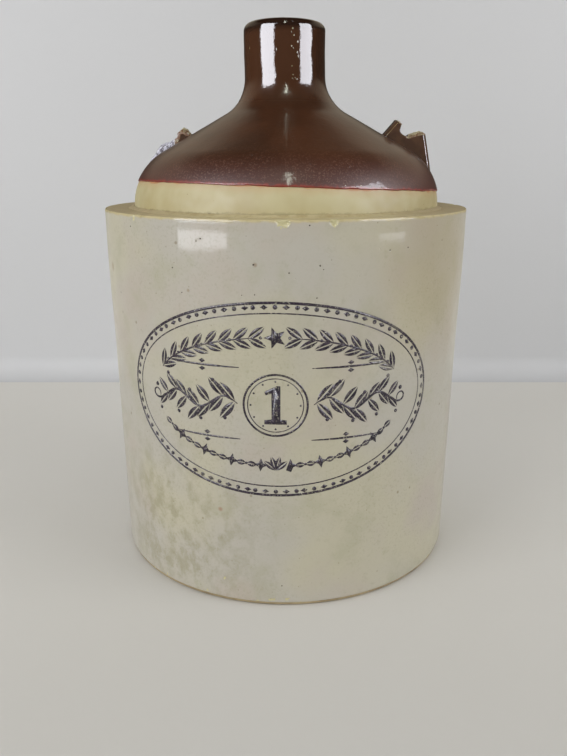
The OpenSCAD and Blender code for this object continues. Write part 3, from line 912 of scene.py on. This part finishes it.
def makeEar(name, node, side, line, material):
    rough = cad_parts[node].data.copy()
    copy = bpy.data.objects.new(name + "Blank", rough)
    scene.collection.objects.link(copy)
    bm = bmesh.new()
    bm.from_mesh(rough)
    bmesh.ops.remove_doubles(bm, verts=bm.verts, dist=0.000005)
    bm.to_mesh(rough)
    bm.free()
    remesh = copy.modifiers.new("fine", "REMESH")
    remesh.mode = "VOXEL"
    remesh.voxel_size = ears["voxel"]
    bpy.context.view_layer.update()
    fine = bpy.data.meshes.new_from_object(copy.evaluated_get(bpy.context.evaluated_depsgraph_get()))
    bpy.data.objects.remove(copy)
    bm = bmesh.new()
    bm.from_mesh(fine)
    for _ in range(4):
        bmesh.ops.smooth_vert(bm, verts=bm.verts, factor=0.5, use_axis_x=True, use_axis_y=True, use_axis_z=True)
    brokenLayer = bm.verts.layers.float.new("broken")
    edgeLayer = bm.verts.layers.float.new("edge")
    bm.normal_update()
    radius = ears["holeRadius"]
    tilt = math.radians(ears["breakTilt"])
    moves = []
    for vert in bm.verts:
        x = side * vert.co.x - ears["holeCentre"][0]
        z = vert.co.z - ears["holeCentre"][1]
        level = z * math.cos(tilt) - vert.co.y * math.sin(tilt)
        away = distanceToLine(Vector((x, level)) / radius, line) * radius
        fromHole = math.hypot(x, z) - radius
        broken = smoothStep(0.00055, 0.0002, away) * smoothStep(0.00015, 0.0004, fromHole)
        broken *= smoothStep(0.15, 0.45, vert.normal.z + 0.35 * abs(vert.normal.x))
        if side > 0:
            broken *= smoothStep(-0.0041, -0.0033, x)
        grained = broken
        if side < 0:
            # Glaze ran over the face of the left stump's slope, and its prong lost most of its own; on the slope this
            # share carries the painted reflection
            reach = ears["slopeReach"] if x > ears["prongFace"] else ears["prongReach"]
            broken = max(broken, smoothStep(reach, reach * 0.7, away))
        vert[brokenLayer] = broken
        # Share of the bevel line: partly glaze worn thin, partly painted highlight and reflection
        lean = abs(vert.normal.y)
        vert[edgeLayer] = smoothStep(0.82, 0.90, lean) * smoothStep(0.99, 0.95, lean) * (1 - broken)
        grain = rumple(vert.co, ears["grain"], 2) + 0.8 * rumple(vert.co, ears["grain"] * 2.6, 4)
        moves.append((vert, grained * ears["grainDepth"] * grain))
    for vert, depth in moves:
        vert.co += vert.normal * depth
        vert.co = settleDome(vert.co)
    finishPiece(name, bm, material, [node])


# The print, laid out flat: x runs round the body and y up it, from the middle of the oval
stamp = {
    "azimuth": -2.9,
    "height": 0.1004,
    "oval": (0.0753, 0.0438),
    "rule": 0.00115,
    "innerOval": (0.0706, 0.0391),
    "innerRule": 0.00055,
    "beads": 84,
    "bead": 0.00098,
    "garland": (0.0590, 0.0285),
    "lowerBand": (0.0590, 0.0290),
    "medallion": 0.0142,
    "lift": 0.00006,
    "sink": 0.00001,
    "slice": 0.002,
}


def movedShape(bm, verts, place, turn=0.0, scale=(1, 1)):
    matrix = Matrix.Translation((*place, 0)) @ Matrix.Rotation(turn, 4, "Z") @ Matrix.Diagonal((*scale, 1, 1))
    bmesh.ops.transform(bm, matrix=matrix, verts=verts)


def disc(bm, place, radius, segments=14, turn=0.0, stretch=1.0):
    made = bmesh.ops.create_circle(bm, cap_ends=True, segments=segments, radius=1)
    movedShape(bm, made["verts"], place, turn, (radius * stretch, radius))


def ring(bm, place, halves, width, segments):
    made = bmesh.ops.create_circle(bm, cap_ends=True, segments=segments, radius=1)
    movedShape(bm, made["verts"], place, 0, halves)
    face = made["verts"][0].link_faces[0]
    bmesh.ops.inset_region(bm, faces=[face], thickness=width, use_even_offset=True, use_boundary=True)
    bmesh.ops.delete(bm, geom=[face], context="FACES")


def leaf(bm, place, turn, length, width):
    for side in (1, -1):
        made = bmesh.ops.create_circle(bm, cap_ends=True, segments=24, radius=1)
        for vert in made["verts"]:
            vert.co.y = max(0.16, vert.co.y * math.sqrt(max(0, 1 - vert.co.x ** 2) + 0.02)) * side
        bmesh.ops.remove_doubles(bm, verts=made["verts"], dist=0.0001)
        left = [vert for vert in made["verts"] if vert.is_valid]
        if side < 0:
            bmesh.ops.reverse_faces(bm, faces=list({face for vert in left for face in vert.link_faces}))
        movedShape(bm, left, place, turn, (length / 2, width / 2))


def star(bm, place, radius, points, turn=0.0):
    made = bmesh.ops.create_circle(bm, cap_ends=True, segments=2 * points, radius=1)
    for i, vert in enumerate(made["verts"]):
        if i % 2:
            vert.co *= 0.44
    movedShape(bm, made["verts"], place, turn + math.pi / 2, (radius, radius))


def stroke(bm, points, width):
    verts = [bm.verts.new((*point, 0)) for point in points]
    edges = [bm.edges.new(pair) for pair in zip(verts, verts[1:])]
    made = bmesh.ops.extrude_edge_only(bm, edges=edges)
    far = [item for item in made["geom"] if isinstance(item, bmesh.types.BMVert)]
    count = len(points)
    for i, (near, twin) in enumerate(zip(verts, far)):
        before, after = points[max(i - 1, 0)], points[min(i + 1, count - 1)]
        along = Vector((after[0] - before[0], after[1] - before[1])).normalized()
        taper = math.sin(math.pi * (0.06 + 0.88 * i / (count - 1))) ** 0.6
        across = Vector((-along.y, along.x, 0)) * width / 2 * taper
        twin.co = near.co + across
        near.co = near.co - across
    for face in {face for vert in verts for face in vert.link_faces}:
        face.normal_update()
        if face.normal.z < 0:
            face.normal_flip()


def ovalPoint(halves, angle):
    turn = math.radians(angle)
    return Vector((halves[0] * math.cos(turn), halves[1] * math.sin(turn)))


def ovalHeading(halves, angle):
    turn = math.radians(angle)
    return math.atan2(halves[1] * math.cos(turn), -halves[0] * math.sin(turn))


def evenAngles(halves, start, end, count):
    fine = [start + (end - start) * i / 400 for i in range(401)]
    lengths = [0.0]
    for a, b in zip(fine, fine[1:]):
        lengths.append(lengths[-1] + (ovalPoint(halves, b) - ovalPoint(halves, a)).length)
    angles = []
    for i in range(count):
        goal = lengths[-1] * i / max(count - 1, 1)
        index = min(range(401), key=lambda k: abs(lengths[k] - goal))
        angles.append(fine[index])
    return angles


def drawBorder(bm):
    ring(bm, (0, 0), stamp["oval"], stamp["rule"], 200)
    ring(bm, (0, 0), stamp["innerOval"], stamp["innerRule"], 200)
    middle = [(a + b) / 2 for a, b in zip(stamp["oval"], stamp["innerOval"])]
    for i, angle in enumerate(evenAngles(middle, 0, 360, stamp["beads"] + 1)[:-1]):
        place = ovalPoint(middle, angle)
        if i % 2:
            disc(bm, place, stamp["bead"])
        else:
            disc(bm, place, stamp["bead"] * 1.05, 4, ovalHeading(middle, angle), 1.55)


def drawGarland(bm):
    halves = stamp["garland"]
    for side in (1, -1):
        stem = [ovalPoint(halves, 90 + side * angle) for angle in range(9, 68, 2)]
        stroke(bm, stem, 0.0008)
        for i, angle in enumerate(evenAngles(halves, 90 + side * 66, 90 + side * 11, 8)):
            heading = ovalHeading(halves, angle) + (0 if side < 0 else math.pi)
            for lean in (0.55, -0.55):
                turn = heading + lean
                place = ovalPoint(halves, angle) + Vector((math.cos(turn), math.sin(turn))) * 0.0042
                leaf(bm, place, turn, 0.0088, 0.0031)
            if i % 2:
                aside = ovalPoint(halves, angle) + Vector((math.cos(heading), math.sin(heading))) * 0.0052
                disc(bm, aside, 0.0007)
    star(bm, (0, halves[1]), 0.0048, 5)


def drawMedallion(bm):
    radius = stamp["medallion"]
    centre = (0, -0.0012)
    ring(bm, centre, (radius, radius), 0.0009, 72)
    ring(bm, centre, (radius - 0.0020, radius - 0.0020), 0.0004, 64)
    figure = [(-0.0048, -0.0085), (0.0048, -0.0085), (0.0048, -0.0066), (0.0021, -0.0062), (0.0021, 0.0088),
              (0.0005, 0.0088), (-0.0047, 0.0062), (-0.0042, 0.0046), (-0.0017, 0.0055), (-0.0017, -0.0062),
              (-0.0048, -0.0066)]
    bm.faces.new([bm.verts.new((centre[0] + x, centre[1] + y, 0)) for x, y in figure])
    for angle in range(0, 360, 30):
        disc(bm, Vector(centre) + ovalPoint((radius - 0.0035, radius - 0.0035), angle), 0.00045, 8)


def drawSprays(bm):
    for side in (1, -1):
        wave = []
        for i in range(40):
            share = i / 39
            wave.append(Vector((side * (0.0165 + 0.0415 * share), 0.0030 * math.sin(share * 11) - 0.0010)))
        curl = [wave[-1] + Vector((side * math.sin(t), 1 - math.cos(t))) * (0.0034 - 0.00045 * t)
                for t in [k * 0.35 for k in range(1, 15)]]
        stroke(bm, wave + curl, 0.0011)
        for i, share in enumerate([0.04, 0.17, 0.31, 0.45, 0.59, 0.73, 0.87]):
            root = wave[int(share * 39)]
            for up in (1, -1):
                turn = up * 0.85
                size = 0.0108 - 0.0030 * share
                heading = Vector((side * math.cos(turn), math.sin(turn)))
                leaf(bm, root + heading * size * 0.52, math.atan2(heading.y, heading.x), size, size * 0.38)
            disc(bm, root + Vector((side * 0.0048, 0.0068 if i % 2 else -0.0078)), 0.00085)
        disc(bm, (side * 0.0585, 0.0022), 0.0010)


def drawRules(bm):
    for level, reach in ((0.0152, 0.034), (-0.0172, 0.031)):
        for side in (1, -1):
            stroke(bm, [Vector((side * (0.0155 + reach * i / 12), level)) for i in range(13)], 0.0009)
            disc(bm, (side * (0.0155 + reach / 2), level + 0.0017), 0.0010, 4, 0, 1.5)
            disc(bm, (side * (0.0155 + reach / 2), level - 0.0017), 0.0010, 4, 0, 1.5)
            disc(bm, (side * (0.0165 + reach), level), 0.0008)


def drawLowerBand(bm):
    halves = stamp["lowerBand"]
    for i, angle in enumerate(evenAngles(halves, 212, 328, 17)):
        place = ovalPoint(halves, angle)
        heading = ovalHeading(halves, angle)
        if i == 8:
            for lean in (-0.9, -0.3, 0.3, 0.9):
                turn = math.pi / 2 + lean
                leaf(bm, place + Vector((math.cos(turn), math.sin(turn))) * 0.0032 - Vector((0, 0.002)), turn,
                     0.0068, 0.0026)
        elif i % 2:
            star(bm, place, 0.0031, 4, heading)
        else:
            for lean in (0, math.pi):
                side = Vector((math.cos(heading + lean), math.sin(heading + lean)))
                leaf(bm, place + side * 0.0024, heading + lean, 0.0046, 0.0026)
            disc(bm, place, 0.0006)


def inkFinish():
    finish = Finish("underglazeInk", **glazeSkin)
    glaze = bodyGlazeColour(finish)
    ink = finish.mix(finish.range(finish.noise(0.0013, 3, 0.6), 0.38, 0.68), srgb(40, 35, 47), srgb(72, 62, 74))
    thin = finish.range(finish.noise(0.00075, 2, 0.6, shift=(1, 6, 2)), 0.56, 0.70, 0.0, 0.75)
    bare = finish.range(finish.noise(0.016, 3, shift=(8, 3, 3)), 0.58, 0.70, 0.0, 0.5)
    share = finish.math("MAXIMUM", thin, finish.math("MULTIPLY", bare, 0.6))
    rough = finish.range(finish.noise(0.009, 4, 0.6), 0.3, 0.7, 0.28, 0.40)
    return finish.wear(finish.mix(share, ink, glaze), rough, skinBump(finish))


def makeStamp():
    bm = bmesh.new()
    for draw in (drawBorder, drawGarland, drawMedallion, drawSprays, drawRules, drawLowerBand):
        draw(bm)
        print("stamp:", draw.__name__, len(bm.faces), "faces")
    slices = int(stamp["oval"][0] / stamp["slice"])
    for i in range(-slices, slices + 1):
        everything = bm.verts[:] + bm.edges[:] + bm.faces[:]
        bmesh.ops.bisect_plane(bm, geom=everything, plane_co=(i * stamp["slice"], 0, 0), plane_no=(1, 0, 0))
    for face in bm.faces:
        face.normal_update()
    upsideDown = [face for face in bm.faces if face.normal.z < 0]
    bmesh.ops.reverse_faces(bm, faces=upsideDown)
    outer = bm.faces[:]
    # A thin film: a copy of the drawing, turned over, closes its back, and walls close its edges
    made = bmesh.ops.extrude_face_region(bm, geom=outer, use_keep_orig=True)
    lifted = {item for item in made["geom"] if isinstance(item, bmesh.types.BMVert)}
    for vert in bm.verts:
        flat = vert.co.copy()
        height = stamp["height"] + flat.y
        radius = sideRadius(height) + clay["coat"]
        azimuth = stamp["azimuth"] + math.degrees(flat.x / radius)
        onBody = placeAt(azimuth, radius, height)
        film = stamp["lift"] if vert in lifted else stamp["sink"]
        vert.co = placeAt(azimuth, radius - glazeLoss(onBody) + film, height)
    bmesh.ops.recalc_face_normals(bm, faces=bm.faces)
    finishPiece("stampPrint", bm, inkFinish())


# Camera, stage and light
camera = {"place": (-0.00109, -0.37428, 0.19933), "downward": 17.089, "focalPixels": 712.475, "frameHeight": 756}


def makeCamera():
    data = bpy.data.cameras.new("camera")
    data.sensor_width = 36
    data.lens = camera["focalPixels"] * data.sensor_width / camera["frameHeight"]
    data.clip_start = 0.01
    eye = bpy.data.objects.new("camera", data)
    eye.location = camera["place"]
    eye.rotation_euler = (math.radians(90 - camera["downward"]), 0, 0)
    scene.collection.objects.link(eye)
    scene.camera = eye


stage = {
    "floor": srgb(224, 222, 216),
    "wall": srgb(205, 206, 208),
    "wallStart": 0.24,
    "sweepRound": 0.02,
    "wallHeight": 3.0,
    "halfWidth": 4.0,
    "front": -4.0,
}


def stageFinish(name, colour, oneSided):
    finish = Finish(name, 0.65, 0.3)
    shade = finish.mix(finish.range(finish.noise(0.5, 2), 0.3, 0.7, 0.0, 0.06), colour, srgb(170, 168, 164))
    # Painted shade: floor and backdrop darken a little towards the camera, as the room's light falls off
    shade = finish.mix(finish.range(finish.part(1), 0.15, -0.30, 0.0, 0.28), shade, srgb(120, 119, 116))
    material = finish.wear(shade, None, finish.bump(finish.noise(0.004, 3), 0.0002, 0.3))
    if oneSided:
        output = finish.nodes["Material Output"]
        mixer = finish.nodes.new("ShaderNodeMixShader")
        clear = finish.nodes.new("ShaderNodeBsdfTransparent")
        facing = finish.nodes.new("ShaderNodeNewGeometry")
        finish.links.new(facing.outputs["Backfacing"], mixer.inputs[0])
        finish.links.new(finish.shader.outputs[0], mixer.inputs[1])
        finish.links.new(clear.outputs[0], mixer.inputs[2])
        finish.links.new(mixer.outputs[0], output.inputs["Surface"])
    return material


def makeStage():
    bm = bmesh.new()
    bmesh.ops.create_grid(bm, x_segments=1, y_segments=1, size=stage["halfWidth"])
    floor = bpy.data.meshes.new("floor")
    bm.to_mesh(floor)
    bm.free()
    floor.materials.append(stageFinish("floorPaint", stage["floor"], False))
    floorObject = bpy.data.objects.new("floor", floor)
    bm = bmesh.new()
    sweep = [(stage["wallStart"] + stage["sweepRound"] + y, z + stage["sweepRound"])
             for y, z in arcPoints((0, 0), stage["sweepRound"], -90, 0, 16)]
    side = [bm.verts.new((-stage["halfWidth"], y, z + 0.0002)) for y, z in sweep]
    side.append(bm.verts.new((-stage["halfWidth"], sweep[-1][0], stage["wallHeight"])))
    edges = [bm.edges.new(pair) for pair in zip(side, side[1:])]
    made = bmesh.ops.extrude_edge_only(bm, edges=edges)
    far = [item for item in made["geom"] if isinstance(item, bmesh.types.BMVert)]
    bmesh.ops.translate(bm, verts=far, vec=(2 * stage["halfWidth"], 0, 0))
    bm.normal_update()
    if next(iter(bm.faces)).normal.z < 0:
        bmesh.ops.reverse_faces(bm, faces=bm.faces)
    wall = bpy.data.meshes.new("backdrop")
    bm.to_mesh(wall)
    bm.free()
    wall.shade_smooth()
    wall.materials.append(stageFinish("wallPaint", stage["wall"], True))
    wallObject = bpy.data.objects.new("backdrop", wall)
    wallObject.visible_glossy = False
    for item in (floorObject, wallObject):
        scene.collection.objects.link(item)


# Soft windows: azimuth, width in degrees, lowest and highest elevation, distance, brightness
lights = {
    "windows": [(-49, 38, -4.3, 45, 0.95, 2.45), (66, 36, -4.3, 45, 0.95, 1.85)],
    "glints": [(-48, 40, 3.5, 33.5, 0.93, 17.0), (-48.6, 31, -6.2, -8.5, 0.93, 14.0),
               (62.4, 36, 3.5, 32.5, 0.93, 14.4), (63, 17, -5.55, -9.05, 0.93, 7.0)],
    "glintColour": (0.92, 0.93, 1.0),
    "tubes": [{"place": (0.03, -0.97, 1.25), "length": 0.86, "width": 0.04, "brightness": 38}],
    "tubeColour": (0.93, 1.0, 0.86),
    "room": {"front": 0.49, "back": 1.06},
    "roomColour": (1.0, 0.985, 0.96, 1),
    "mirroredColour": (1.0, 0.87, 0.67, 1),
    "mirrored": {"front": 0.09, "level": 0.04, "back": 0.42, "ceiling": 0.02,
                 "rising": (0.16, 0.38), "falling": (0.60, 0.76)},
    "frontToBack": (-0.35, 0.30),
    "backgroundColour": srgb(203, 203, 206),
}


def windowLight(name, azimuth, width, low, high, distance, brightness, glossOnly):
    data = bpy.data.lights.new(name, "AREA")
    data.shape = "RECTANGLE"
    data.size = 2 * distance * math.tan(math.radians(width / 2))
    bottom = 0.17 + distance * math.tan(math.radians(low))
    top = 0.24 + distance * math.tan(math.radians(high))
    data.size_y = top - bottom
    data.energy = brightness * math.pi * data.size * data.size_y
    lamp = bpy.data.objects.new(name, data)
    lamp.location = placeAt(azimuth, distance, (top + bottom) / 2)
    lamp.rotation_euler = (math.radians(90), 0, math.radians(azimuth))
    lamp.visible_camera = False
    lamp.visible_glossy = glossOnly
    lamp.visible_diffuse = not glossOnly
    if glossOnly:
        data.color = lights["glintColour"]
    scene.collection.objects.link(lamp)


def tubeLight(name, place, length, width, brightness):
    data = bpy.data.lights.new(name, "AREA")
    data.shape = "RECTANGLE"
    data.size = width
    data.size_y = length
    data.energy = brightness * math.pi * width * length
    data.color = lights["tubeColour"]
    lamp = bpy.data.objects.new(name, data)
    lamp.location = place
    lamp.visible_camera = False
    lamp.visible_diffuse = False
    scene.collection.objects.link(lamp)


def makeLights():
    for i, values in enumerate(lights["windows"]):
        windowLight(f"window{i + 1}", *values, False)
    for i, values in enumerate(lights["glints"]):
        windowLight(f"glint{i + 1}", *values, True)
    for i, tube in enumerate(lights["tubes"]):
        tubeLight(f"tube{i + 1}", *tube.values())
    world = bpy.data.worlds.new("room")
    scene.world = world
    world.use_nodes = True
    nodes, links = world.node_tree.nodes, world.node_tree.links
    background = nodes["Background"]
    coords = nodes.new("ShaderNodeTexCoord")
    split = nodes.new("ShaderNodeSeparateXYZ")
    links.new(coords.outputs["Generated"], split.inputs[0])

    def graded(axis, span, start, end):
        node = nodes.new("ShaderNodeMapRange")
        node.interpolation_type = "SMOOTHSTEP"
        links.new(split.outputs[axis], node.inputs["Value"])
        node.inputs["From Min"].default_value, node.inputs["From Max"].default_value = span
        node.inputs["To Min"].default_value = start
        if isinstance(end, bpy.types.NodeSocket):
            links.new(end, node.inputs["To Max"])
        else:
            node.inputs["To Max"].default_value = end
        return node.outputs["Result"]

    span = lights["frontToBack"]
    room = graded("Y", span, lights["room"]["front"], lights["room"]["back"])
    mirrored = lights["mirrored"]
    # Towards the back the mirrored room is bright along the wall, and dark below and above it
    above = graded("Z", mirrored["falling"], mirrored["back"], mirrored["ceiling"])
    reflected = graded("Y", span, mirrored["front"], graded("Z", mirrored["rising"], mirrored["level"], above))
    path = nodes.new("ShaderNodeLightPath")
    glossy = nodes.new("ShaderNodeMix")
    links.new(path.outputs["Is Glossy Ray"], glossy.inputs[0])
    links.new(room, glossy.inputs[2])
    links.new(reflected, glossy.inputs[3])
    strength = nodes.new("ShaderNodeMix")
    links.new(path.outputs["Is Camera Ray"], strength.inputs[0])
    links.new(glossy.outputs[0], strength.inputs[2])
    strength.inputs[3].default_value = 1
    links.new(strength.outputs[0], background.inputs["Strength"])
    warm = nodes.new("ShaderNodeMix")
    warm.data_type = "RGBA"
    links.new(path.outputs["Is Glossy Ray"], warm.inputs[0])
    warm.inputs[6].default_value = lights["roomColour"]
    warm.inputs[7].default_value = lights["mirroredColour"]
    colour = nodes.new("ShaderNodeMix")
    colour.data_type = "RGBA"
    links.new(path.outputs["Is Camera Ray"], colour.inputs[0])
    links.new(warm.outputs[2], colour.inputs[6])
    colour.inputs[7].default_value = lights["backgroundColour"]
    links.new(colour.outputs[2], background.inputs["Color"])


makeCamera()
makeBody()
makeWhiteCoat()
makeDome()
makeLutingSlip()
makeBrownCoat()
makeLining()
earMaterial = earFinish()
makeEar("rightEar", "right_ear", 1, ears["right"], earMaterial)
makeEar("leftEar", "left_ear", -1, ears["left"], earMaterial)
makeStamp()
makeStage()
makeLights()
scene.view_settings.view_transform = "Standard"
print("all pieces made")
